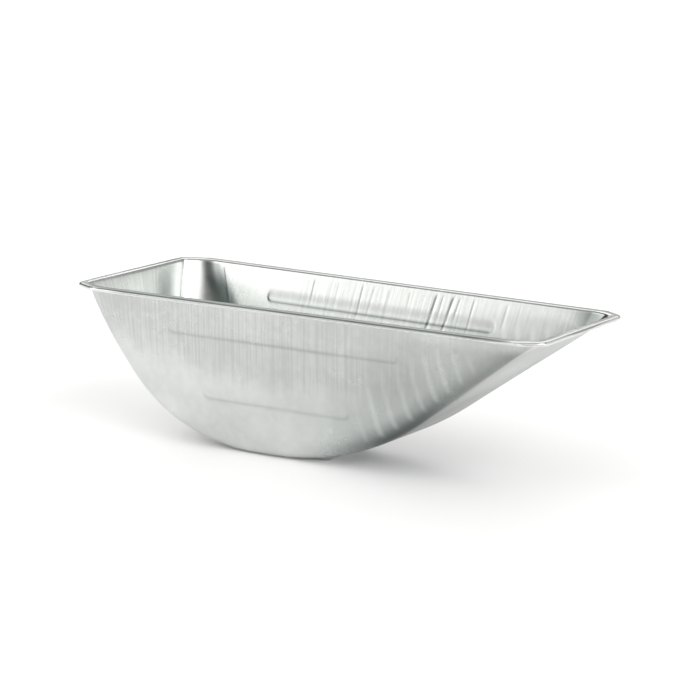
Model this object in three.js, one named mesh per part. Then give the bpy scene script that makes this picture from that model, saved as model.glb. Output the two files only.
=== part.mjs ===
// A hand pan for drywall mud: one deep-drawn sheet-steel shell with a steep heel, a curved bottom and a
// long sloping nose, and the wire that its rim is rolled over. Millimetres. +X points to the nose,
// +Z up, and the origin is under the middle of the pan, level with the bottom.
import * as THREE from 'three';

// Rim outline, seen from above. A chamfer is given as its length along X and along Y.
const RIM_LENGTH = 380;
const RIM_WIDTH_HEEL = 142;
const RIM_WIDTH_NOSE = 122;
const HEEL_CHAMFER = [21, 10];
const NOSE_CHAMFER = [16, 9];
const OUTLINE_CORNER_RADIUS = 9;

// Sheet, rim roll and wire.
const SHEET = 0.7;
const WIRE_RADIUS = 0.6;
const WIRE_GAP = 0.3;
const ROLL_RADIUS = WIRE_RADIUS + WIRE_GAP + SHEET;
const ROLL_END_ANGLE = 325;
const FLANGE_WIDTH = 7;
const BEND_RADIUS = 2.2;

// Lengthwise profile of the inner face, measured down from the rim.
const DEPTH = 114.3;
const HEEL_SLOPE = 81.5;
const HEEL_ARC = 123;
const NOSE_SLOPE = 35.6;
const NOSE_ARC = 225;
const NOSE_TOP_INSET = 6;

// Draft of the side walls and corners from the vertical, and the rounding of every fold.
const SIDE_DRAFT = 14;
const CORNER_DRAFT = 20;
const FOLD_RADIUS = 9;
const RIM_CORNER_RADIUS = 3;
const FULL_ROUNDING_FROM = 60;

// Two beads pressed outwards in each side wall: middle depth below the rim, half width, both ends, height.
const BEADS = [
  { down: 22.4, half: 4.8, from: -112, to: 86, height: 0.9 },
  { down: 69.5, half: 6.4, from: -91, to: 35, height: 0.8 },
];

// The flat pressed in the middle of the bottom, on which the pan stands level: its ends, its half width and
// the length over which it runs out into the curve.
const FOOT = { from: -66, to: -6, halfWidth: 12, fade: 10 };

// How the sheet is divided. The spine is the middle line of the bottom, where the columns end.
const SPINE_HALF = 140;
const SIDE_STEPS = [
  -158, -142, -127, -112, -108, -104, -93, -89, -84, -66, -46, -26, -6, 4, 20, 29, 33, 38, 54, 70, 79,
  83, 87, 102, 117, 132, 147, 160,
];
const END_STEPS = [0.25, 0.5, 0.75];
const WALL_LEVELS = [10, 17.6, 20, 22.4, 24.8, 27.2, 46, 63, 66, 69.5, 73, 76];
const LEVEL_SPLIT = 30;
const EVEN_FROM = [-112, 90];
const EVEN_OVER = 70;
const FOLD_ROWS = 4;
const FLOOR_ROWS = 3;
const BEND_ROWS = 3;
const ROLL_STEP = 47;
const PATH_SAMPLES = 500;
const WIRE_SIDES = 8;

const rad = THREE.MathUtils.degToRad;
const tan = (degrees) => Math.tan(rad(degrees));
const sin = (degrees) => Math.sin(rad(degrees));
const { clamp, lerp, smoothstep } = THREE.MathUtils;

const HALF = RIM_LENGTH / 2;
const rimHalfWidth = (x) => lerp(RIM_WIDTH_HEEL, RIM_WIDTH_NOSE, (x + HALF) / RIM_LENGTH) / 2;

// Corners of the rim, anticlockwise seen from above from the heel's near corner, and the draft of the wall
// that hangs from the edge after each corner. The heel and the nose follow the profile instead.
function rimCorners() {
  const near = [
    [-HALF, -rimHalfWidth(-HALF) + HEEL_CHAMFER[1]],
    [-HALF + HEEL_CHAMFER[0], -rimHalfWidth(-HALF + HEEL_CHAMFER[0])],
    [HALF - NOSE_CHAMFER[0], -rimHalfWidth(HALF - NOSE_CHAMFER[0])],
    [HALF, -rimHalfWidth(HALF) + NOSE_CHAMFER[1]],
  ];
  const far = near.map(([x, y]) => [x, -y]).reverse();
  return [...near, ...far].map(([x, y]) => new THREE.Vector2(x, y));
}

const CORNERS = rimCorners();
const DRAFTS = [CORNER_DRAFT, SIDE_DRAFT, CORNER_DRAFT, 0, CORNER_DRAFT, SIDE_DRAFT, CORNER_DRAFT, 0];
const WALLS = CORNERS.map((corner, i) => {
  const ahead = CORNERS[(i + 1) % 8].clone().sub(corner).normalize();
  const inward = new THREE.Vector2(-ahead.y, ahead.x);
  return { point: corner.clone().addScaledVector(inward, FLANGE_WIDTH), inward, draft: DRAFTS[i] };
}).filter((wall) => wall.draft > 0);

// Depth and slope on the middle line: a heel line, an arc, a short level stretch, a wider arc and the
// nose line.
function profile(x) {
  const heelTop = -HALF + FLANGE_WIDTH;
  const noseTop = HALF - NOSE_TOP_INSET;
  const heelFoot = heelTop + DEPTH / tan(HEEL_SLOPE) + HEEL_ARC * tan(HEEL_SLOPE / 2);
  const noseFoot = noseTop - DEPTH / tan(NOSE_SLOPE) - NOSE_ARC * tan(NOSE_SLOPE / 2);
  if (x < heelFoot - HEEL_ARC * sin(HEEL_SLOPE)) {
    return { depth: (x - heelTop) * tan(HEEL_SLOPE), slope: tan(HEEL_SLOPE) };
  }
  if (x > noseFoot + NOSE_ARC * sin(NOSE_SLOPE)) {
    return { depth: (noseTop - x) * tan(NOSE_SLOPE), slope: tan(NOSE_SLOPE) };
  }
  const across = Math.max(heelFoot - x, x - noseFoot, 0);
  const arc = x < heelFoot ? HEEL_ARC : NOSE_ARC;
  const up = Math.sqrt(arc ** 2 - across ** 2);
  return { depth: DEPTH - arc + up, slope: across / up };
}

// Depth of the inner face at a point seen from above. The edges between its faces are rounded, tightly at
// the rim and fully further down.
function bowlDepth(x, y) {
  const along = profile(x);
  const faces = [{ depth: along.depth, keen: 1 / Math.hypot(1, along.slope) }];
  for (const { point, inward, draft } of WALLS) {
    const inside = (x - point.x) * inward.x + (y - point.y) * inward.y;
    faces.push({ depth: inside / tan(draft), keen: sin(draft) });
  }
  let low = -60;
  let high = Math.min(...faces.map((face) => face.depth));
  for (let i = 0; i < 40; i += 1) {
    const down = (low + high) / 2;
    const radius = lerp(RIM_CORNER_RADIUS, FOLD_RADIUS, smoothstep(down, 0, FULL_ROUNDING_FROM));
    let sum = 0;
    for (const { depth, keen } of faces) sum += Math.max(0, radius - (depth - down) * keen) ** 2;
    if (sum > radius ** 2) high = down;
    else low = down;
  }
  return (low + high) / 2;
}

// The same with the foot, which presses the bottom down to its lowest level.
function panDepth(x, y) {
  const depth = bowlDepth(x, y);
  const lengthwise = Math.max(FOOT.from - x, x - FOOT.to, 0);
  const across = Math.max(Math.abs(y) - FOOT.halfWidth, 0);
  const foot = 1 - smoothstep(Math.hypot(lengthwise, across), 0, FOOT.fade);
  return lerp(depth, DEPTH, foot);
}

// How far a bead stands out of the pan at a point of a side wall.
function beadHeight(x, down) {
  let height = 0;
  for (const bead of BEADS) {
    const past = Math.max(bead.from + bead.half - x, x - bead.to + bead.half, 0);
    const away = Math.hypot(past, down - bead.down) / bead.half;
    if (away < 1) height += bead.height * Math.cos((away * Math.PI) / 2);
  }
  return height;
}

// The columns of the sheet, round the rim. Each has a point on the rim's outer edge, the direction that
// points out of the pan there, and the place on the spine where it ends.
function rimColumns() {
  const list = [];
  CORNERS.forEach((corner, i) => {
    const next = CORNERS[(i + 1) % 8];
    const back = CORNERS[(i + 7) % 8].clone().sub(corner).normalize();
    const ahead = next.clone().sub(corner).normalize();
    const turn = Math.PI - Math.acos(back.dot(ahead));
    const start = corner.clone().addScaledVector(back, OUTLINE_CORNER_RADIUS * Math.tan(turn / 2));
    const firstOut = new THREE.Vector2(-back.y, back.x);
    const centre = start.addScaledVector(firstOut, -OUTLINE_CORNER_RADIUS);
    const steps = turn > 0.8 ? 4 : 2;
    const end = Math.sign(corner.x) * SPINE_HALF;
    for (let k = 0; k <= steps; k += 1) {
      const out = firstOut.clone().rotateAround(new THREE.Vector2(), (turn * k) / steps);
      const rim = centre.clone().addScaledVector(out, OUTLINE_CORNER_RADIUS);
      list.push({ rim, out, spine: end, kind: 'corner' });
    }
    const out = new THREE.Vector2(ahead.y, -ahead.x);
    if (DRAFTS[i] === SIDE_DRAFT) {
      for (const x of ahead.x > 0 ? SIDE_STEPS : [...SIDE_STEPS].reverse()) {
        const rim = corner.clone().lerp(next, (x - corner.x) / (next.x - corner.x));
        list.push({ rim, out, spine: clamp(x, -SPINE_HALF, SPINE_HALF), kind: 'side' });
      }
    } else if (DRAFTS[i] === 0) {
      for (const share of END_STEPS) {
        list.push({ rim: corner.clone().lerp(next, share), out, spine: end, kind: 'end' });
      }
    }
  });
  return list;
}

const steepness = (a, b) => Math.atan2(a.z - b.z, Math.hypot(a.x - b.x, a.y - b.y));

// Places along a column below the bend, as lengths of its path over the bowl. In the beaded stretch of a
// side wall the rows keep to fixed levels and then divide the fold and the floor. Towards the ends they
// change over to even steps, which is what the columns of the ends and corners use.
function rowLengths(path, lengths, evenShare) {
  const total = lengths[lengths.length - 1];
  const steps = (from, to, count) => Array.from({ length: count }, (_, k) => lerp(from, to, (k + 1) / count));
  const even = steps(0, total, WALL_LEVELS.length + FOLD_ROWS + FLOOR_ROWS);
  if (evenShare >= 1) return even;
  const slopes = path.slice(1).map((point, i) => steepness(path[i], point));
  const foldStart = slopes.findIndex((slope) => slope < slopes[0] - 0.08);
  const foldEnd = slopes.findIndex((slope) => slope < slopes[slopes.length - 1] + 0.08);
  const [first, foldDown] = [-path[0].z, -path[foldStart].z];
  const reach = Math.max(foldDown, LEVEL_SPLIT * 1.5);
  const lowest = WALL_LEVELS[WALL_LEVELS.length - 1] + 5;
  const wall = WALL_LEVELS.map((level) => {
    const squeeze = Math.min(1, (reach - LEVEL_SPLIT) / (lowest - LEVEL_SPLIT));
    const down = Math.min(level, LEVEL_SPLIT) + Math.max(0, level - LEVEL_SPLIT) * squeeze;
    const fitted = first + ((down - first) * (foldDown - first)) / (reach - first);
    const i = path.findIndex((point) => -point.z >= (reach > foldDown ? fitted : down));
    return lengths[i];
  });
  const fold = steps(lengths[foldStart], lengths[foldEnd], FOLD_ROWS - 1);
  const levelled = [...wall, ...fold, ...steps(lengths[foldEnd], total, FLOOR_ROWS + 1)];
  return levelled.map((length, i) => lerp(length, even[i], evenShare));
}

function bowlRows(path, evenShare) {
  const lengths = [0];
  for (let i = 1; i < path.length; i += 1) lengths.push(lengths[i - 1] + path[i].distanceTo(path[i - 1]));
  return rowLengths(path, lengths, evenShare).map((wanted) => {
    const found = lengths.findIndex((length) => length >= wanted);
    const i = found < 1 ? path.length - 1 : found;
    return path[i - 1].clone().lerp(path[i], (wanted - lengths[i - 1]) / (lengths[i] - lengths[i - 1]));
  });
}

// A point of the rim's cross-section, at an inset from its outer edge and a height above its top.
function sectionPoint(rim, out, inset, height) {
  return new THREE.Vector3(rim.x - out.x * inset, rim.y - out.y * inset, height);
}

// All points of one column on the sheet's inner and upper face, from the free end of the rim roll to the
// spine. Heights are measured up from the rim.
function columnPoints({ rim, out, spine, kind }) {
  const points = [];
  for (let angle = ROLL_END_ANGLE; angle >= 90; angle -= ROLL_STEP) {
    const inset = ROLL_RADIUS * (1 + Math.cos(rad(angle)));
    points.push(sectionPoint(rim, out, inset, ROLL_RADIUS * (sin(angle) - 1)));
  }
  const top = rim.clone().addScaledVector(out, -FLANGE_WIDTH);
  const foot = new THREE.Vector2(spine, 0);
  const heading = foot.clone().sub(top).normalize();
  const path = [];
  for (let k = 0; k <= PATH_SAMPLES; k += 1) {
    const plan = top.clone().lerp(foot, (k / PATH_SAMPLES) ** 1.5);
    path.push(new THREE.Vector3(plan.x, plan.y, -panDepth(plan.x, plan.y)));
  }
  const first = path.findIndex((point) => point.z < -1.3 * BEND_RADIUS);
  const steep = steepness(path[first], path[first + 4]);
  const back = -path[first].z / Math.tan(steep) + BEND_RADIUS * Math.tan(steep / 2);
  for (let k = 0; k <= BEND_ROWS; k += 1) {
    const angle = (steep * k) / BEND_ROWS;
    const forward = BEND_RADIUS * Math.sin(angle) - back;
    const x = path[first].x + heading.x * forward;
    const y = path[first].y + heading.y * forward;
    points.push(new THREE.Vector3(x, y, -BEND_RADIUS * (1 - Math.cos(angle))));
  }
  const pastBeads = Math.max(EVEN_FROM[0] - rim.x, rim.x - EVEN_FROM[1]);
  const rows = bowlRows(path.slice(first), kind === 'side' ? smoothstep(pastBeads, 0, EVEN_OVER) : 1);
  if (kind === 'side') {
    const outwards = new THREE.Vector3(out.x, out.y, 0);
    for (const row of rows) row.addScaledVector(outwards, beadHeight(row.x, -row.z));
  }
  return [...points, ...rows];
}

// Lifts a point from heights measured at the rim to heights above the origin.
const lift = (point) => point.clone().setZ(point.z + DEPTH + SHEET);

// Unit normals at the points of a surface, from the triangles around each point.
function normalsOf(points, triangles) {
  const geometry = new THREE.BufferGeometry().setFromPoints(points);
  geometry.setIndex(triangles.flat());
  geometry.computeVertexNormals();
  return points.map((_, i) => new THREE.Vector3().fromBufferAttribute(geometry.attributes.normal, i));
}

// Whether the diagonal a-e of a four-sided patch lies further out of the pan than the diagonal b-d. On the
// bulging bowl that diagonal keeps the patch on the surface.
function bulges(a, e, b, d) {
  const inwards = d.clone().sub(b).cross(e.clone().sub(a));
  return a.clone().add(e).sub(b).sub(d).dot(inwards) <= 0;
}

// The shell's inner face, which is also the top of the rim and the outside of its roll, as points and
// triangles. Columns that end at the same place on the spine share that point.
function innerFace(columns) {
  const points = [];
  const spineIds = new Map();
  const ids = columns.map((column) => {
    const line = columnPoints(column);
    const foot = line.pop();
    const own = line.map((point) => points.push(point) - 1);
    const place = foot.x.toFixed(2);
    if (!spineIds.has(place)) spineIds.set(place, points.push(foot.setY(0)) - 1);
    return [...own, spineIds.get(place)];
  });
  const triangles = [];
  ids.forEach((column, c) => {
    const next = ids[(c + 1) % ids.length];
    for (let r = 0; r < column.length - 1; r += 1) {
      const [a, b, d, e] = [column[r], column[r + 1], next[r], next[r + 1]];
      if (b === e) triangles.push([a, d, e]);
      else if (bulges(points[a], points[e], points[b], points[d])) triangles.push([a, d, e], [a, e, b]);
      else triangles.push([a, d, b], [d, e, b]);
    }
  });
  return { points, triangles, edge: ids.map((column) => column[0]) };
}

// The whole shell: the inner face, the same face set back by the sheet's thickness, and the strip that
// joins them along the free end of the roll.
function shellGeometry(columns) {
  const { points, triangles, edge } = innerFace(columns);
  const count = points.length;
  const normals = normalsOf(points, triangles);
  const behind = points.map((point, i) => point.clone().addScaledVector(normals[i], -SHEET));
  const outer = triangles.map(([a, b, c]) => [a + count, c + count, b + count]);
  const strip = edge.flatMap((a, i) => {
    const b = edge[(i + 1) % edge.length];
    return [[a, b + count, b], [a, a + count, b + count]];
  });
  const geometry = new THREE.BufferGeometry().setFromPoints([...points, ...behind].map(lift));
  geometry.setIndex([...triangles, ...outer, ...strip].flat());
  geometry.computeVertexNormals();
  return geometry;
}

// The wire is a closed ring of round cross-sections in the middle of the roll.
function wireGeometry(columns) {
  const count = columns.length;
  const points = columns.flatMap(({ rim, out }) => Array.from({ length: WIRE_SIDES }, (_, k) => {
    const angle = (2 * Math.PI * k) / WIRE_SIDES;
    const inset = ROLL_RADIUS + WIRE_RADIUS * Math.cos(angle);
    return lift(sectionPoint(rim, out, inset, WIRE_RADIUS * Math.sin(angle) - ROLL_RADIUS));
  }));
  const index = [];
  for (let c = 0; c < count; c += 1) {
    for (let k = 0; k < WIRE_SIDES; k += 1) {
      const next = (k + 1) % WIRE_SIDES;
      const [a, b] = [c * WIRE_SIDES + k, c * WIRE_SIDES + next];
      const [d, e] = [((c + 1) % count) * WIRE_SIDES + k, ((c + 1) % count) * WIRE_SIDES + next];
      index.push(a, e, d, a, b, e);
    }
  }
  const geometry = new THREE.BufferGeometry().setFromPoints(points);
  geometry.setIndex(index);
  geometry.computeVertexNormals();
  return geometry;
}

function mesh(name, geometry, material) {
  const made = new THREE.Mesh(geometry, new THREE.MeshStandardMaterial(material));
  made.name = name;
  return made;
}

const columns = rimColumns();
const pan = new THREE.Group();
pan.add(mesh('pan_shell', shellGeometry(columns), { color: 0xcfd2d0, roughness: 0.28, metalness: 1 }));
const bends = columns.filter(({ kind }) => kind === 'corner');
pan.add(mesh('rim_wire', wireGeometry(bends), { color: 0xb9bcbb, roughness: 0.4, metalness: 1 }));

export default pan;
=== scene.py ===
"""A galvanised hand pan for drywall mud: the drawn sheet with its rolled rim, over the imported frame."""

import math

import bmesh
import bpy
import numpy as np
from mathutils import Matrix, Vector


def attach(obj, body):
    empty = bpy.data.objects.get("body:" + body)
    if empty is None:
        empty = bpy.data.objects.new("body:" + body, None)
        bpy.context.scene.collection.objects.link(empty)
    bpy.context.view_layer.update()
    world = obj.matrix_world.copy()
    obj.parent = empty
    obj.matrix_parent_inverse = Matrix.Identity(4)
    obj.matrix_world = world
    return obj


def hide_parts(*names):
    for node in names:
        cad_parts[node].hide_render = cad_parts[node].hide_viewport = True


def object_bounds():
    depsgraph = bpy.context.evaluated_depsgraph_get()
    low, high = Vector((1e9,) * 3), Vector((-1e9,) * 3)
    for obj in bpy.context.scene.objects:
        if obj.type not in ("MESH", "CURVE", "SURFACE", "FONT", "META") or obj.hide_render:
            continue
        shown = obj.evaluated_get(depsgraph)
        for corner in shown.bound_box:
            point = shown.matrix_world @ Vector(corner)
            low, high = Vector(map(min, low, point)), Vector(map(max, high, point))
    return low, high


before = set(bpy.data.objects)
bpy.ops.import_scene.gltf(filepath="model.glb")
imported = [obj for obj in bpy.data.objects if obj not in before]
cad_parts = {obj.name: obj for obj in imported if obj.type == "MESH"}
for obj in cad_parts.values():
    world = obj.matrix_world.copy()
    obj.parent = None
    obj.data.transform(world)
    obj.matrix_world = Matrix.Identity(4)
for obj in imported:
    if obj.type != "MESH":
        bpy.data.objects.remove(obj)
CAD_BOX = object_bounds()

# ---------------------------------------------------------------- dimensions in millimetres, as in the CAD
RIM_LENGTH = 380.0
RIM_WIDTH_HEEL = 142.0
RIM_WIDTH_NOSE = 122.0
HEEL_CHAMFER = (21.0, 10.0)
NOSE_CHAMFER = (16.0, 9.0)
OUTLINE_CORNER_RADIUS = 9.0
SHEET = 0.7
WIRE_RADIUS = 0.6
WIRE_GAP = 0.3
ROLL_RADIUS = WIRE_RADIUS + WIRE_GAP + SHEET
FLANGE_WIDTH = 7.0
BEND_RADIUS = 2.2
DEPTH = 114.3
HEEL_SLOPE = math.radians(81.5)
HEEL_ARC = 123.0
NOSE_SLOPE = math.radians(35.6)
NOSE_ARC = 225.0
NOSE_TOP_INSET = 6.0
SIDE_DRAFT = math.radians(14)
CORNER_DRAFT = math.radians(20)
FOLD_RADIUS = 9.0
RIM_CORNER_RADIUS = 3.0
FULL_ROUNDING_FROM = 60.0
SPINE_HALF = 140.0
FOOT_FROM, FOOT_TO = -66.0, -6.0
FOOT_HALF_WIDTH = 12.0
FOOT_FADE = 10.0
ROLL_FROM, ROLL_TO = 325, 90  # degrees round the wire from the sheet's free end to the top
HALF = RIM_LENGTH / 2

# Fineness of the visible sheet.
SIDE_STEP = 0.75
END_STEP = 1.5
UPPER_ROWS = 58
UPPER_REACH = 34.0
LOWER_ROWS = 64
BEND_ROWS = 7
FLANGE_ROWS = 3
ROLL_ROWS = 14
PATH_SAMPLES = 360
PATH_CROWDING = 1.4  # how much the samples crowd towards the rim
BOWL_FROM = 1.3 * BEND_RADIUS  # depth at which the bowl's own form takes over from the bend
CORNER_STEP = 0.9
# Bounds of the search for the depth at a point, and how often its range is halved.
LOWEST_DEPTH = -60.0
HALVINGS = 34
MERGE_DISTANCE = 2e-6  # metres
DEGENERATE_LENGTH = 1e-7  # metres


# ---------------------------------------------------------------- camera
CAMERA_AZIMUTH = math.radians(34.06)
CAMERA_ELEVATION = math.radians(12.48)
CAMERA_DISTANCE = 4.565 * RIM_LENGTH / 1000
SENSOR_WIDTH = 36.0
LENS = 128.5714
CLIP_END = 100.0
# How far the camera sits to the right of and below the line through its aim, as shares of its distance.
CAMERA_RIGHT = 0.0023264
CAMERA_BELOW = 0.021216


def add_camera():
    """The camera looks down on the near side from the nose end."""
    aim = Vector((0, 0, CAD_BOX[1].z))
    back = Vector((math.sin(CAMERA_AZIMUTH) * math.cos(CAMERA_ELEVATION),
                   -math.cos(CAMERA_AZIMUTH) * math.cos(CAMERA_ELEVATION),
                   math.sin(CAMERA_ELEVATION)))
    right = Vector((math.cos(CAMERA_AZIMUTH), math.sin(CAMERA_AZIMUTH), 0))
    up = back.cross(right)
    data = bpy.data.cameras.new("camera")
    data.sensor_width = SENSOR_WIDTH
    data.lens = LENS
    data.clip_end = CLIP_END
    camera = bpy.data.objects.new("camera", data)
    bpy.context.scene.collection.objects.link(camera)
    place = aim + CAMERA_DISTANCE * (back + right * CAMERA_RIGHT - up * CAMERA_BELOW)
    camera.matrix_world = Matrix.Translation(place) @ Matrix((right, up, back)).transposed().to_4x4()
    bpy.context.scene.camera = camera


add_camera()


# ---------------------------------------------------------------- form of the pan
def smoothstep(value, low, high):
    """A soft step from 0 at low to 1 at high."""
    share = np.clip((value - low) / (high - low), 0, 1)
    return share * share * (3 - 2 * share)


def rim_half_width(x):
    """Half the rim's width, which tapers from the heel to the nose."""
    return (RIM_WIDTH_HEEL + (RIM_WIDTH_NOSE - RIM_WIDTH_HEEL) * (x + HALF) / RIM_LENGTH) / 2


def rim_corners():
    """Corners of the rim, anticlockwise seen from above from the heel's near corner."""
    near = [
        (-HALF, -rim_half_width(-HALF) + HEEL_CHAMFER[1]),
        (-HALF + HEEL_CHAMFER[0], -rim_half_width(-HALF + HEEL_CHAMFER[0])),
        (HALF - NOSE_CHAMFER[0], -rim_half_width(HALF - NOSE_CHAMFER[0])),
        (HALF, -rim_half_width(HALF) + NOSE_CHAMFER[1]),
    ]
    return np.array(near + [(x, -y) for x, y in reversed(near)])


CORNERS = rim_corners()
# Draft of the face inside each edge of the rim: 0 at the two ends, which follow the profile instead.
DRAFTS = [CORNER_DRAFT, SIDE_DRAFT, CORNER_DRAFT, 0, CORNER_DRAFT, SIDE_DRAFT, CORNER_DRAFT, 0]


def profile(x):
    """Depth and slope of the inner face on the middle line."""
    heel_top, nose_top = -HALF + FLANGE_WIDTH, HALF - NOSE_TOP_INSET
    heel_foot = heel_top + DEPTH / math.tan(HEEL_SLOPE) + HEEL_ARC * math.tan(HEEL_SLOPE / 2)
    nose_foot = nose_top - DEPTH / math.tan(NOSE_SLOPE) - NOSE_ARC * math.tan(NOSE_SLOPE / 2)
    arc = np.where(x < heel_foot, HEEL_ARC, NOSE_ARC)
    across = np.maximum(np.maximum(heel_foot - x, x - nose_foot), 0)
    up = np.sqrt(np.maximum(arc**2 - across**2, 1e-6))
    on_heel = x < heel_foot - HEEL_ARC * math.sin(HEEL_SLOPE)
    on_nose = x > nose_foot + NOSE_ARC * math.sin(NOSE_SLOPE)
    depth = np.where(on_heel, (x - heel_top) * math.tan(HEEL_SLOPE), DEPTH - arc + up)
    depth = np.where(on_nose, (nose_top - x) * math.tan(NOSE_SLOPE), depth)
    slope = np.where(on_heel, math.tan(HEEL_SLOPE), across / up)
    return depth, np.where(on_nose, math.tan(NOSE_SLOPE), slope)


def bowl_depth(x, y):
    """Depth of the inner face at points seen from above, with the edges between its faces rounded."""
    depth, slope = profile(x)
    faces = [(depth, 1 / np.hypot(1, slope))]
    for i, draft in enumerate(DRAFTS):
        if draft:
            ahead = CORNERS[(i + 1) % 8] - CORNERS[i]
            ahead = ahead / np.hypot(*ahead)
            inside = (y - CORNERS[i][1]) * ahead[0] - (x - CORNERS[i][0]) * ahead[1] - FLANGE_WIDTH
            faces.append((inside / math.tan(draft), np.full_like(x, math.sin(draft))))
    high = np.min([face[0] for face in faces], axis=0)
    low = np.full_like(x, LOWEST_DEPTH)
    for _ in range(HALVINGS):
        down = (low + high) / 2
        rounding = smoothstep(down, 0, FULL_ROUNDING_FROM)
        radius = RIM_CORNER_RADIUS + (FOLD_RADIUS - RIM_CORNER_RADIUS) * rounding
        missing = sum(np.maximum(0, radius - (d - down) * keen) ** 2 for d, keen in faces)
        over = missing > radius**2
        high = np.where(over, down, high)
        low = np.where(over, low, down)
    return (low + high) / 2


def pan_depth(x, y):
    """The bowl with the flat foot pressed in the middle of its bottom."""
    depth = bowl_depth(x, y)
    lengthwise = np.maximum(np.maximum(FOOT_FROM - x, x - FOOT_TO), 0)
    across = np.maximum(np.abs(y) - FOOT_HALF_WIDTH, 0)
    foot = 1 - smoothstep(np.hypot(lengthwise, across), 0, FOOT_FADE)
    return depth + (DEPTH - depth) * foot


# ---------------------------------------------------------------- the sheet as columns round the rim
def corner_arc(i):
    """A rim corner, the directions back and ahead along the rim, its turn, and how far its arc reaches."""
    corner = CORNERS[i % 8]
    back, ahead = CORNERS[(i - 1) % 8] - corner, CORNERS[(i + 1) % 8] - corner
    back, ahead = back / np.hypot(*back), ahead / np.hypot(*ahead)
    turn = math.pi - math.acos(back @ ahead)
    return corner, back, ahead, turn, OUTLINE_CORNER_RADIUS * math.tan(turn / 2)


def rim_columns():
    """Points on the rim's outer edge, the outward direction there, and each column's end on the spine."""
    rims, outs, spines = [], [], []
    for i in range(8):
        corner, back, ahead, turn, reach = corner_arc(i)
        following, *_, next_reach = corner_arc(i + 1)
        first_out = np.array((-back[1], back[0]))
        centre = corner + back * reach - first_out * OUTLINE_CORNER_RADIUS
        steps = max(3, round(turn * OUTLINE_CORNER_RADIUS / CORNER_STEP))
        for k in range(steps + 1):
            angle = turn * k / steps
            out = np.array((first_out[0] * math.cos(angle) - first_out[1] * math.sin(angle),
                            first_out[0] * math.sin(angle) + first_out[1] * math.cos(angle)))
            rims.append(centre + out * OUTLINE_CORNER_RADIUS)
            outs.append(out)
            spines.append(math.copysign(SPINE_HALF, corner[0]))
        out = np.array((ahead[1], -ahead[0]))
        start, end = corner + ahead * reach, following - ahead * next_reach
        on_side = DRAFTS[i] == SIDE_DRAFT
        steps = max(2, round(np.hypot(*(end - start)) / (SIDE_STEP if on_side else END_STEP)))
        for k in range(1, steps):
            rim = start + (end - start) * k / steps
            rims.append(rim)
            outs.append(out)
            spines.append(float(np.clip(rim[0], -SPINE_HALF, SPINE_HALF)) if on_side
                          else math.copysign(SPINE_HALF, corner[0]))
    return np.array(rims), np.array(outs), np.array(spines)


def roll_rows(rims, outs):
    """The rolled edge, from its free end round to the top."""
    rows = []
    for angle in np.radians(np.linspace(ROLL_FROM, ROLL_TO, ROLL_ROWS)):
        inset = ROLL_RADIUS * (1 + math.cos(angle))
        height = np.full(len(rims), ROLL_RADIUS * (math.sin(angle) - 1))
        rows.append(np.column_stack([rims - outs * inset, height]))
    return rows


def sheet_face():
    """The sheet's inner and upper face as a grid [column, row, xyz], heights measured up from the rim."""
    rims, outs, spines = rim_columns()
    tops = rims - outs * FLANGE_WIDTH
    feet = np.column_stack([spines, np.zeros(len(spines))])
    shares = np.linspace(0, 1, PATH_SAMPLES) ** PATH_CROWDING
    plan = tops[:, None] + (feet - tops)[:, None] * shares[None, :, None]
    depth = pan_depth(plan[..., 0], plan[..., 1])
    span = np.hypot(*(feet - tops).T)
    heading = (feet - tops) / span[:, None]
    grid = []
    rolled = roll_rows(rims, outs)
    for c in range(len(rims)):
        along = shares * span[c]
        first = int(np.argmax(depth[c] > BOWL_FROM))
        steep = math.atan2(depth[c, first + 4] - depth[c, first], along[first + 4] - along[first])
        edge = along[first] - depth[c, first] / math.tan(steep)
        angles = steep * np.linspace(0, 1, BEND_ROWS)
        bend_along = edge - BEND_RADIUS * math.tan(steep / 2) + BEND_RADIUS * np.sin(angles)
        bend_down = BEND_RADIUS * (1 - np.cos(angles))
        flat_start = FLANGE_WIDTH - ROLL_RADIUS
        flat_along = np.linspace(-flat_start, bend_along[0], FLANGE_ROWS + 2)[1:-1]
        path_along = np.concatenate([[bend_along[-1]], along[first:]])
        path_down = np.concatenate([[bend_down[-1]], depth[c, first:]])
        length = np.concatenate([[0], np.cumsum(np.hypot(np.diff(path_along), np.diff(path_down)))])
        upper = UPPER_REACH * np.arange(1, UPPER_ROWS + 1) / UPPER_ROWS
        lower = UPPER_REACH + (length[-1] - UPPER_REACH) * np.arange(1, LOWER_ROWS + 1) / LOWER_ROWS
        wanted = np.concatenate([upper, lower])
        bowl_along = np.interp(wanted, length, path_along)
        bowl_down = np.interp(wanted, length, path_down)
        line_along = np.concatenate([flat_along, bend_along, bowl_along])
        line_down = np.concatenate([np.zeros(FLANGE_ROWS), bend_down, bowl_down])
        line = np.column_stack([tops[c] + heading[c] * line_along[:, None], -line_down])
        grid.append(np.vstack([[row[c] for row in rolled], line]))
    return np.array(grid)


def grid_normals(grid):
    """Unit normals of a closed ring of columns, pointing into the pan."""
    around = np.roll(grid, -1, axis=0) - np.roll(grid, 1, axis=0)
    down = np.gradient(grid, axis=1)
    normals = np.cross(around, down)
    lengths = np.linalg.norm(normals, axis=2, keepdims=True)
    normals = normals / np.maximum(lengths, 1e-9)
    normals[:, -1] = normals[:, -2]
    return normals


# ---------------------------------------------------------------- pressed and drawn detail
# Each side wall's beads: side, depth of the middle line, half width, both ends, height, shoulder's width.
BEADS = [
    (-1, 23.8, 4.8, -112.0, 78.0, 0.42, 3.4),
    (-1, 69.5, 6.4, -91.0, 32.0, 0.42, 3.4),
    (1, 20.2, 4.6, -107.0, 91.0, 0.32, 8.8),
    (1, 69.5, 6.4, -91.0, 35.0, 0.42, 8.8),
]
BEAD_STEP = 1.35
BEAD_EDGE_REACH = 0.95 * BEAD_STEP  # how far the painted shade spreads from the middle of a bead's lower step
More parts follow.
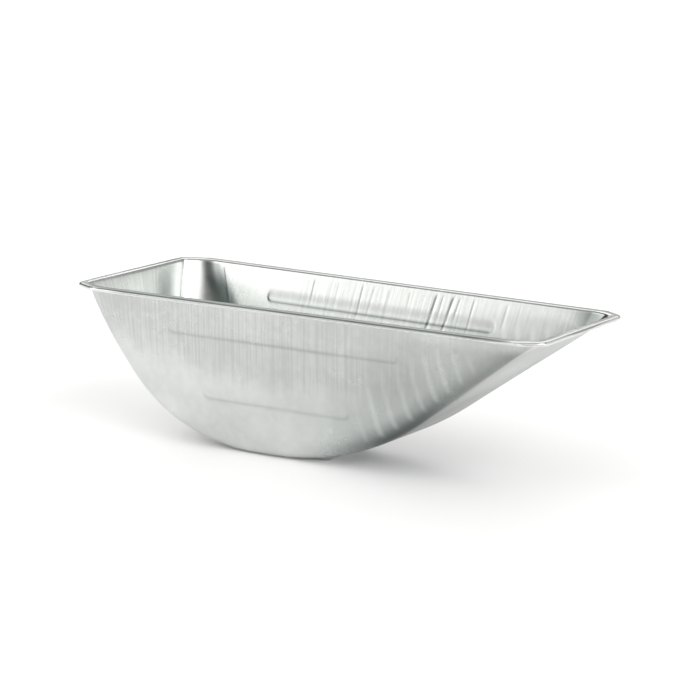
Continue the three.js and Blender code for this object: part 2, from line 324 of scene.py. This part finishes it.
# The strongest draw creases: side, place along the wall, width, height, depth they run to, lean to the heel.
CREASES = [
    (1, -65, 0.8, 0.11, 26, 0.12), (1, -43, 0.7, 0.07, 30, 0.16), (1, -22, 0.9, 0.12, 34, 0.14),
    (1, -12, 0.7, 0.09, 30, 0.20), (1, 19, 0.7, 0.06, 26, 0.15), (1, 42, 1.0, 0.20, 44, 0.26),
    (1, 47, 0.7, 0.09, 30, 0.22), (1, 56, 1.0, 0.19, 40, 0.28), (1, 61, 0.7, 0.10, 24, 0.24),
    (1, 73, 0.8, 0.07, 34, 0.20), (1, 100, 0.9, 0.05, 24, 0.18), (1, -151, 1.1, 0.22, 40, -0.34),
    (-1, -150, 1.3, 0.10, 22, 0.30), (-1, -146, 1.0, 0.08, 18, 0.40), (-1, -121, 1.2, 0.06, 40, 0.15),
    (-1, 24, 1.2, 0.09, 40, 0.12), (-1, 48, 1.2, 0.09, 44, 0.05),
]
FINE_CREASES = 90
FINE_CREASE_SEED = 7
CALM_FROM, CALM_SHARE = 65, 0.4  # the far wall's fine creases are fainter past this place
LEAN = 0.16
PUCKER_PITCH = 11.7
PUCKER_HEIGHT = 0.13
PUCKER_SWING, PUCKER_SWING_HEIGHT = 9, 15  # how far they curve to the nose near the fold, and from how high
FAR_PUCKER_SHARE = 0.12
FAR_BEAD_SHADE, NEAR_BEAD_SHADE = 0.9, 0.28  # how dark the painted shade at the beads' lower edges is on each wall
# Painted shade down the inside of the corners: its place at the rim and half width, and at the heel what a
# depth of 1 adds.
HEEL_PATCH, HEEL_PATCH_HALF = -163.2, 7
HEEL_PATCH_LEAN, HEEL_PATCH_SPREAD = 0.63, 0.18
NOSE_PATCH, NOSE_PATCH_HALF = 167, 13


def crease_list():
    """The strong creases and a seeded crowd of fine ones on both walls."""
    rng = np.random.default_rng(FINE_CREASE_SEED)
    creases = list(CREASES)
    for side in (-1, 1):
        for _ in range(FINE_CREASES):
            height = rng.uniform(0.008, 0.03) * rng.choice((-1, 1))
            place, width, run = rng.uniform(-148, 150), rng.uniform(0.7, 1.4), rng.uniform(14, 52)
            height *= CALM_SHARE if side > 0 and place > CALM_FROM else 1
            creases.append((side, place, width, height, run, LEAN + rng.normal(0, 0.03)))
    return creases


def bead_relief(x, y, down):
    """Height of the long round-ended bosses, and how near, 0 to 1, each point is to their lower steps."""
    height, edge = np.zeros_like(x), np.zeros_like(x)
    for side, middle, half, start, end, rise, shoulder in BEADS:
        past = np.maximum(np.maximum(start + half - x, x - end + half), 0)
        chord = half * np.sqrt(np.maximum(1 - (past / half) ** 2, 0))
        across = down - middle
        ramp = smoothstep(across, -chord - shoulder / 4, -chord + shoulder * 3 / 4)
        step = 1 - smoothstep(across, chord - BEAD_STEP, chord)
        ends = smoothstep(chord / half, 0, 0.75)
        here = np.where(y * side > 0, ends, 0)
        height += rise * ramp * step * here
        edge += np.exp(-((across - chord + BEAD_STEP / 2) / BEAD_EDGE_REACH) ** 2) * here
    return height, edge


def puckers(x, down):
    """Crests of the puckers that run down the walls and turn into the fold along the nose, 0 to 1."""
    depth_here, _ = profile(x)
    above_fold = np.maximum(depth_here - down, 0) * math.cos(NOSE_SLOPE)
    place = x - PUCKER_SWING * np.exp(-above_fold / PUCKER_SWING_HEIGHT)
    wave = np.sin(2 * math.pi * place / PUCKER_PITCH + 0.9 * np.sin(place / 17.0))
    uneven = 0.75 + 0.25 * np.sin(place / 5.3 + 1.0) * np.sin(place / 13.0)
    strength = smoothstep(x, 20, 60) * (1 - smoothstep(above_fold, 24, 52)) * (1 - smoothstep(x, 120, 165))
    strength = strength * smoothstep(down, 9, 20) * smoothstep(above_fold, 1, 8)
    return (0.5 + 0.5 * wave) ** 3 * uneven * strength


def relief(grid, normals):
    """How far the sheet stands out at each point: beads, puckers along the nose fold and creases."""
    x, y, down = grid[..., 0], grid[..., 1], -grid[..., 2]
    on_side = smoothstep(np.abs(normals[..., 1]), 0.6, 0.9) * smoothstep(down, 2.5, 6)
    out = bead_relief(x, y, down)[0]
    out += PUCKER_HEIGHT * puckers(x, down) * np.where(y > 0, FAR_PUCKER_SHARE, 1)
    for side, place, width, height, run, lean in crease_list():
        across = (x - place + lean * down) / width
        fade = 1 - smoothstep(down, 0.6 * run, run)
        out += np.where(y * side > 0, height * np.exp(-across**2) * fade, 0)
    return out * on_side


def fold_shade(grid):
    """Painted shade, 0 to 1: near the fold along the nose and the bottom, and under the beads' lower edges.
    """
    x, y, down = grid[..., 0], grid[..., 1], -grid[..., 2]
    depth_here, slope = profile(x)
    above_fold = (depth_here - down) / np.hypot(1, slope)
    near = 0.5 * (1 - smoothstep(above_fold, 4, 70)) + 0.5 * (1 - smoothstep(above_fold, 1, 16))
    near = near * smoothstep(x, -30, 50) * (1 - 0.35 * smoothstep(x, 60, 150)) * smoothstep(down, 4, 14)
    near += 0.25 * (1 - smoothstep(above_fold, 0, 8)) * smoothstep(x, 35, 60) * (1 - smoothstep(x, 85, 120))
    edge = bead_relief(x, y, down)[1] * smoothstep(np.abs(y), 20, 30)
    return near + (1 - near) * np.where(y > 0, FAR_BEAD_SHADE, NEAR_BEAD_SHADE) * np.minimum(edge, 1)


def corner_shade(grid):
    """Painted shade down the inside of the four corners: strongest at the heel."""
    x, y, down = grid[..., 0], grid[..., 1], -grid[..., 2]
    off_line = (x - HEEL_PATCH - HEEL_PATCH_LEAN * down) / (HEEL_PATCH_HALF + HEEL_PATCH_SPREAD * down)
    heel = 1.2 * np.exp(-off_line**4) * (0.6 + 0.4 * smoothstep(down, 4, 20)) * smoothstep(down, 1, 3)
    nose = 0.95 * np.exp(-((x - NOSE_PATCH) / NOSE_PATCH_HALF) ** 2) * smoothstep(down, 0.5, 2)
    return (heel + nose) * smoothstep(np.abs(y), 38, 48)


def add_draw_attributes(mesh, grid):
    """Each point's place on the blank rolled up round the rim, its painted shade, and the puckers' crests.
    """
    rim = grid[:, ROLL_ROWS]
    steps = np.linalg.norm(np.roll(rim, -1, axis=0) - rim, axis=1)
    turn = 2 * math.pi * np.concatenate([[0], np.cumsum(steps)[:-1]]) / steps.sum()
    radius = steps.sum() / 2 / math.pi
    path = np.cumsum(np.linalg.norm(np.diff(grid, axis=1, prepend=grid[:, :1]), axis=2), axis=1)
    path -= path[:, ROLL_ROWS + FLANGE_ROWS, None]
    along_side = np.clip(rim[:, 1] / 50, -1, 1)
    around = turn[:, None] - along_side[:, None] * LEAN * np.maximum(path, 0) / radius
    drawn = np.stack([radius * np.cos(around), radius * np.sin(around), path], axis=-1) / 1000
    layer = mesh.attributes.new("drawn", "FLOAT_VECTOR", "POINT")
    layer.data.foreach_set("vector", np.concatenate([drawn, drawn]).ravel())
    outer_shade = fold_shade(grid).ravel()
    inner_shade = np.maximum(outer_shade, corner_shade(grid).ravel())
    crests = (puckers(grid[..., 0], -grid[..., 2]) * smoothstep(np.abs(grid[..., 1]), 12, 22)).ravel()
    for name, inner, outer in (("fold", inner_shade, outer_shade), ("crest", crests, crests)):
        layer = mesh.attributes.new(name, "FLOAT", "POINT")
        layer.data.foreach_set("value", np.concatenate([inner, outer]))


def sheet_faces(columns, rows):
    """Quads of the inner face, of the outer face behind it, and along the roll's free edge between them."""
    count = columns * rows
    c, r = np.meshgrid(np.arange(columns), np.arange(rows - 1), indexing="ij")
    a = c * rows + r
    b = ((c + 1) % columns) * rows + r
    inner = np.stack([a, b, b + 1, a + 1], axis=-1).reshape(-1, 4)
    outer = inner[:, ::-1] + count
    start = np.arange(columns) * rows
    following = np.roll(start, -1)
    edge = np.column_stack([start, start + count, following + count, following])
    return np.concatenate([inner, outer, edge])


def build_sheet():
    """The pan's sheet as one closed mesh, with its relief and the attributes that its material reads."""
    grid = sheet_face()
    normals = grid_normals(grid)
    grid = grid - normals * relief(grid, normals)[..., None]
    normals = grid_normals(grid)
    behind = grid - normals * SHEET
    columns, rows = grid.shape[:2]
    lift = np.array((0, 0, DEPTH + SHEET))
    points = np.concatenate([grid.reshape(-1, 3), behind.reshape(-1, 3)]) + lift
    mesh = bpy.data.meshes.new("pan_sheet")
    mesh.from_pydata((points / 1000).tolist(), [], sheet_faces(columns, rows).tolist())
    add_draw_attributes(mesh, grid)
    obj = bpy.data.objects.new("pan_sheet", mesh)
    bpy.context.scene.collection.objects.link(obj)
    work = bmesh.new()
    work.from_mesh(mesh)
    bmesh.ops.remove_doubles(work, verts=work.verts, dist=MERGE_DISTANCE)
    bmesh.ops.dissolve_degenerate(work, edges=work.edges, dist=DEGENERATE_LENGTH)
    work.to_mesh(mesh)
    work.free()
    mesh.shade_smooth()
    return obj


sheet = build_sheet()


# ---------------------------------------------------------------- materials
DULL_ZINC = (0.50, 0.51, 0.495, 1)
BRIGHT_ZINC = (0.80, 0.825, 0.825, 1)
# Colour of the painted highlight on the roll's outer face.
ROLL_HIGHLIGHT_ZINC = (0.82, 0.825, 0.82, 1)
# Near-black colour of the painted shade in the folds, the inner corners, under the beads and on the flange
# top.
PAINTED_SHADE_COLOUR = (0.08, 0.10, 0.095, 1)
DULL_WIRE = (0.55, 0.56, 0.56, 1)
BRIGHT_WIRE = (0.74, 0.75, 0.75, 1)
SHEET_BUMP = 0.00012  # metres
WIRE_BUMP = 0.00003  # metres


class Nodes:
    """Short ways to add and join shader nodes in one tree."""

    def __init__(self, material):
        material.use_nodes = True
        self.tree = material.node_tree
        self.shader = self.tree.nodes["Principled BSDF"]
        self.count = 0

    def add(self, kind, links=None, **values):
        """One node, with its inputs linked or set by links and its settings by values."""
        made = self.tree.nodes.new(kind)
        self.count += 1
        made.location = (-1800 + 180 * (self.count % 9), 500 - 220 * (self.count // 9))
        for key, value in values.items():
            setattr(made, key, value)
        for key, value in (links or {}).items():
            if isinstance(value, bpy.types.NodeSocket):
                self.tree.links.new(value, made.inputs[key])
            else:
                made.inputs[key].default_value = value
        return made

    def math(self, operation, first, second=0.0):
        return self.add("ShaderNodeMath", {0: first, 1: second}, operation=operation).outputs[0]

    def total(self, first, *others):
        """The sum of any number of sockets."""
        for other in others:
            first = self.math("ADD", first, other)
        return first

    def product(self, first, *others):
        """The product of any number of sockets and numbers."""
        for other in others:
            first = self.math("MULTIPLY", first, other)
        return first

    def mixed(self, share, under, over):
        """The colour under, covered by the colour over as far as share says."""
        mix = self.add("ShaderNodeMix", data_type="RGBA")
        self.tree.links.new(share, mix.inputs["Factor"])
        self.tree.links.new(under, mix.inputs["A"])
        mix.inputs["B"].default_value = over
        return mix.outputs["Result"]

    def noise(self, place, scale, detail=2.0, roughness=0.5):
        """Noise from 0 to 1 with its own scale, in cells a metre, along each axis."""
        stretched = self.add("ShaderNodeVectorMath", {0: place, 1: scale}, operation="MULTIPLY").outputs[0]
        return self.add("ShaderNodeTexNoise", {"Vector": stretched, "Scale": 1.0, "Detail": detail,
                                               "Roughness": roughness}).outputs["Fac"]

    def spread(self, value, low, high, to_low=0.0, to_high=1.0):
        """A soft ramp from to_low, where value is low, to to_high, where it is high."""
        return self.add("ShaderNodeMapRange", {"Value": value, "From Min": low, "From Max": high,
                                               "To Min": to_low, "To Max": to_high},
                        interpolation_type="SMOOTHSTEP").outputs["Result"]


def galvanised():
    """Bright galvanised sheet: clouded zinc, with fine lines down the walls where the sheet was drawn."""
    material = bpy.data.materials.new("galvanised_sheet")
    nodes = Nodes(material)
    tree, shader = nodes.tree, nodes.shader
    shader.inputs["Metallic"].default_value = 1.0
    drawn = nodes.add("ShaderNodeAttribute", attribute_name="drawn").outputs["Vector"]
    fold = nodes.add("ShaderNodeAttribute", attribute_name="fold").outputs["Fac"]
    crest = nodes.add("ShaderNodeAttribute", attribute_name="crest").outputs["Fac"]
    place = nodes.add("ShaderNodeTexCoord").outputs["Object"]
    path = nodes.add("ShaderNodeSeparateXYZ", {0: drawn}).outputs["Z"]
    lengthwise, crosswise, _ = nodes.add("ShaderNodeSeparateXYZ", {0: place}).outputs

    lines = nodes.noise(drawn, (640, 640, 8), 2.0, 0.6)
    broad_lines = nodes.noise(drawn, (170, 170, 4), 1.5)
    clouds = nodes.noise(place, (16, 16, 16), 3.0)
    mottle = nodes.noise(place, (170, 170, 170), 2.0)
    scallop = nodes.noise(drawn, (45, 45, 3), 1.0)
    # Zones: the drawn upper part of the walls, with a scalloped lower border, the roll and the flange.
    lower = nodes.math("SUBTRACT", path, nodes.product(scallop, 0.03))
    lower = nodes.math("SUBTRACT", lower, nodes.spread(lengthwise, -0.150, -0.085, 0, 0.016))
    upper_zone = nodes.spread(lower, 0.012, 0.042, 1, 0)
    calm = nodes.product(nodes.spread(crosswise, 0.02, 0.03), nodes.spread(lengthwise, -0.11, -0.03, 0.8, 0))
    drawn_zone = nodes.product(upper_zone, nodes.spread(path, 0.0, 0.004),
                               nodes.spread(lengthwise, 0.035, 0.090, 1, 0.35),
                               nodes.math("SUBTRACT", 1.0, calm))
    # Painted highlight: the roll's outer face and underside, past its top, are turned brighter, and also
    # rougher.
    roll_highlight = nodes.spread(path, -0.0072, -0.0064, 1, 0)
    off_ends = nodes.spread(nodes.math("ABSOLUTE", lengthwise), 0.166, 0.176, 1, 0)
    # Painted shade along the flange's flat top, away from the ends, which are also made a little rougher.
    flange_shade = nodes.product(nodes.spread(path, -0.0062, -0.0052), nodes.spread(path, -0.0005, 0.001, 1, 0),
                              off_ends)

    # Colour: the zinc's clouds and drawn lines with the pucker crests painted lighter, then painted shade,
    # then a painted highlight along the roll's outer face.
    tone = nodes.total(nodes.spread(clouds, 0.3, 0.7, 0.0, 0.25),
                       nodes.spread(mottle, 0.3, 0.7, 0.0, 0.12),
                       nodes.spread(upper_zone, 0, 1, 0.26, 0),
                       nodes.product(nodes.spread(lines, 0.35, 0.65, -0.16, 0.10), drawn_zone),
                       # The pucker crests are painted lighter: a painted highlight on the crests.
                       nodes.product(crest, 0.12))
    colours = nodes.add("ShaderNodeValToRGB", {"Fac": tone})
    colours.color_ramp.elements[0].color = DULL_ZINC
    colours.color_ramp.elements[1].color = BRIGHT_ZINC
    # Painted shade: the fold attribute (nose fold, bead edges, inner corners), weaker on the pucker crests,
    # and the flange band darken the zinc towards a near-black colour.
    painted_shade = nodes.math("MAXIMUM", nodes.product(fold, nodes.spread(crest, 0.0, 0.8, 0.8, 0.58)),
                      nodes.product(flange_shade, 0.7))
    shaded = nodes.mixed(painted_shade, colours.outputs["Color"], PAINTED_SHADE_COLOUR)
    with_roll_highlight = nodes.mixed(nodes.product(roll_highlight, 0.8), shaded, ROLL_HIGHLIGHT_ZINC)
    tree.links.new(with_roll_highlight, shader.inputs["Base Color"])

    rough = nodes.total(nodes.spread(clouds, 0.3, 0.7, 0.17, 0.25), nodes.product(mottle, 0.05),
                        nodes.product(drawn_zone, 0.04), nodes.product(flange_shade, 0.12),
                        nodes.product(roll_highlight, 0.2))
    tree.links.new(rough, shader.inputs["Roughness"])

    drawn_height = nodes.total(nodes.product(lines, 0.22), nodes.product(broad_lines, 0.4))
    height = nodes.total(nodes.product(drawn_height, drawn_zone), nodes.product(mottle, 0.05))
    bump = nodes.add("ShaderNodeBump", {"Strength": 1.0, "Distance": SHEET_BUMP, "Height": height})
    tree.links.new(bump.outputs["Normal"], shader.inputs["Normal"])
    return material


def zinc_wire():
    """Dull zinc on the wire in the roll, with small clouds and a drawn grain."""
    material = bpy.data.materials.new("galvanised_wire")
    nodes = Nodes(material)
    tree, shader = nodes.tree, nodes.shader
    shader.inputs["Metallic"].default_value = 1.0
    place = nodes.add("ShaderNodeTexCoord").outputs["Object"]
    clouds = nodes.noise(place, (60, 60, 60), 3.0)
    grain = nodes.noise(place, (300, 300, 2500), 2.0)
    colours = nodes.add("ShaderNodeValToRGB", {"Fac": nodes.spread(clouds, 0.3, 0.7)})
    colours.color_ramp.elements[0].color = DULL_WIRE
    colours.color_ramp.elements[1].color = BRIGHT_WIRE
    tree.links.new(colours.outputs["Color"], shader.inputs["Base Color"])
    tree.links.new(nodes.spread(clouds, 0.3, 0.7, 0.34, 0.46), shader.inputs["Roughness"])
    bump = nodes.add("ShaderNodeBump", {"Strength": 1.0, "Distance": WIRE_BUMP, "Height": grain})
    tree.links.new(bump.outputs["Normal"], shader.inputs["Normal"])
    return material


sheet.data.materials.append(galvanised())
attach(sheet, "root")
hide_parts("pan_shell")

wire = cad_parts["rim_wire"]
wire.data.materials.clear()
wire.data.materials.append(zinc_wire())


# ---------------------------------------------------------------- floor and light
FLOOR_REACH = 30
FLOOR_COLOUR = (0.92, 0.92, 0.92, 1)
STUDIO_COLOUR = (1.0, 1.0, 0.99, 1)
STUDIO_LEVEL = 0.09
# Direction towards each white screen, its bright and its whole radius in degrees, and its strength.
SCREENS = [
    ((-0.82, -0.52, 0.20), 18, 33, 2.4),
    ((-0.45, 0.65, 0.62), 18, 28, 2.0),
    ((0.89, -0.36, 0.29), 26, 37, 3.7),
    ((0.18, -0.87, 0.46), 12, 20, 2.2),
    ((0.45, 0.87, 0.12), 25, 45, 0.5),
    ((0.10, -0.10, 1.00), 30, 54, 0.65),
]
OVERHEAD_STRENGTH = 0.5
OVERHEAD_ANGLE = math.radians(80)
OVERHEAD_FROM = (-0.45, -0.55, 1)


def add_floor():
    """A plain pale floor."""
    mesh = bpy.data.meshes.new("floor")
    corners = [(FLOOR_REACH * x, FLOOR_REACH * y, 0) for x, y in ((-1, -1), (1, -1), (1, 1), (-1, 1))]
    mesh.from_pydata(corners, [], [(0, 1, 2, 3)])
    floor = bpy.data.objects.new("floor", mesh)
    bpy.context.scene.collection.objects.link(floor)
    material = bpy.data.materials.new("floor")
    material.use_nodes = True
    shader = material.node_tree.nodes["Principled BSDF"]
    shader.inputs["Base Color"].default_value = FLOOR_COLOUR
    shader.inputs["Roughness"].default_value = 0.9
    shader.inputs["Specular IOR Level"].default_value = 0.1
    mesh.materials.append(material)


def studio_world():
    """A dim studio with soft round white screens, low on every side and broad overhead."""
    world = bpy.data.worlds.new("studio")
    world.use_nodes = True
    tree = world.node_tree
    background = tree.nodes["Background"]
    background.inputs["Color"].default_value = STUDIO_COLOUR
    place = tree.nodes.new("ShaderNodeTexCoord")
    level = None
    for towards, inner, outer, strength in SCREENS:
        facing = tree.nodes.new("ShaderNodeVectorMath")
        facing.operation = "DOT_PRODUCT"
        facing.inputs[1].default_value = Vector(towards).normalized()
        tree.links.new(place.outputs["Generated"], facing.inputs[0])
        glow = tree.nodes.new("ShaderNodeMapRange")
        glow.interpolation_type = "SMOOTHSTEP"
        glow.inputs["From Min"].default_value = math.cos(math.radians(outer))
        glow.inputs["From Max"].default_value = math.cos(math.radians(inner))
        glow.inputs["To Max"].default_value = strength
        tree.links.new(facing.outputs["Value"], glow.inputs["Value"])
        total = tree.nodes.new("ShaderNodeMath")
        total.operation = "ADD"
        total.inputs[1].default_value = STUDIO_LEVEL
        if level is not None:
            tree.links.new(level, total.inputs[1])
        tree.links.new(glow.outputs["Result"], total.inputs[0])
        level = total.outputs[0]
    tree.links.new(level, background.inputs["Strength"])
    bpy.context.scene.world = world


def add_overhead():
    """A very broad lamp overhead that lights the floor: the metal mirrors only the screens and the floor."""
    data = bpy.data.lights.new("overhead", "SUN")
    data.energy = OVERHEAD_STRENGTH
    data.angle = OVERHEAD_ANGLE
    light = bpy.data.objects.new("overhead", data)
    bpy.context.scene.collection.objects.link(light)
    light.rotation_euler = Vector(OVERHEAD_FROM).to_track_quat("Z", "Y").to_euler()
    light.visible_glossy = False


add_floor()
studio_world()
add_overhead()

bpy.context.scene.view_settings.view_transform = "Standard"
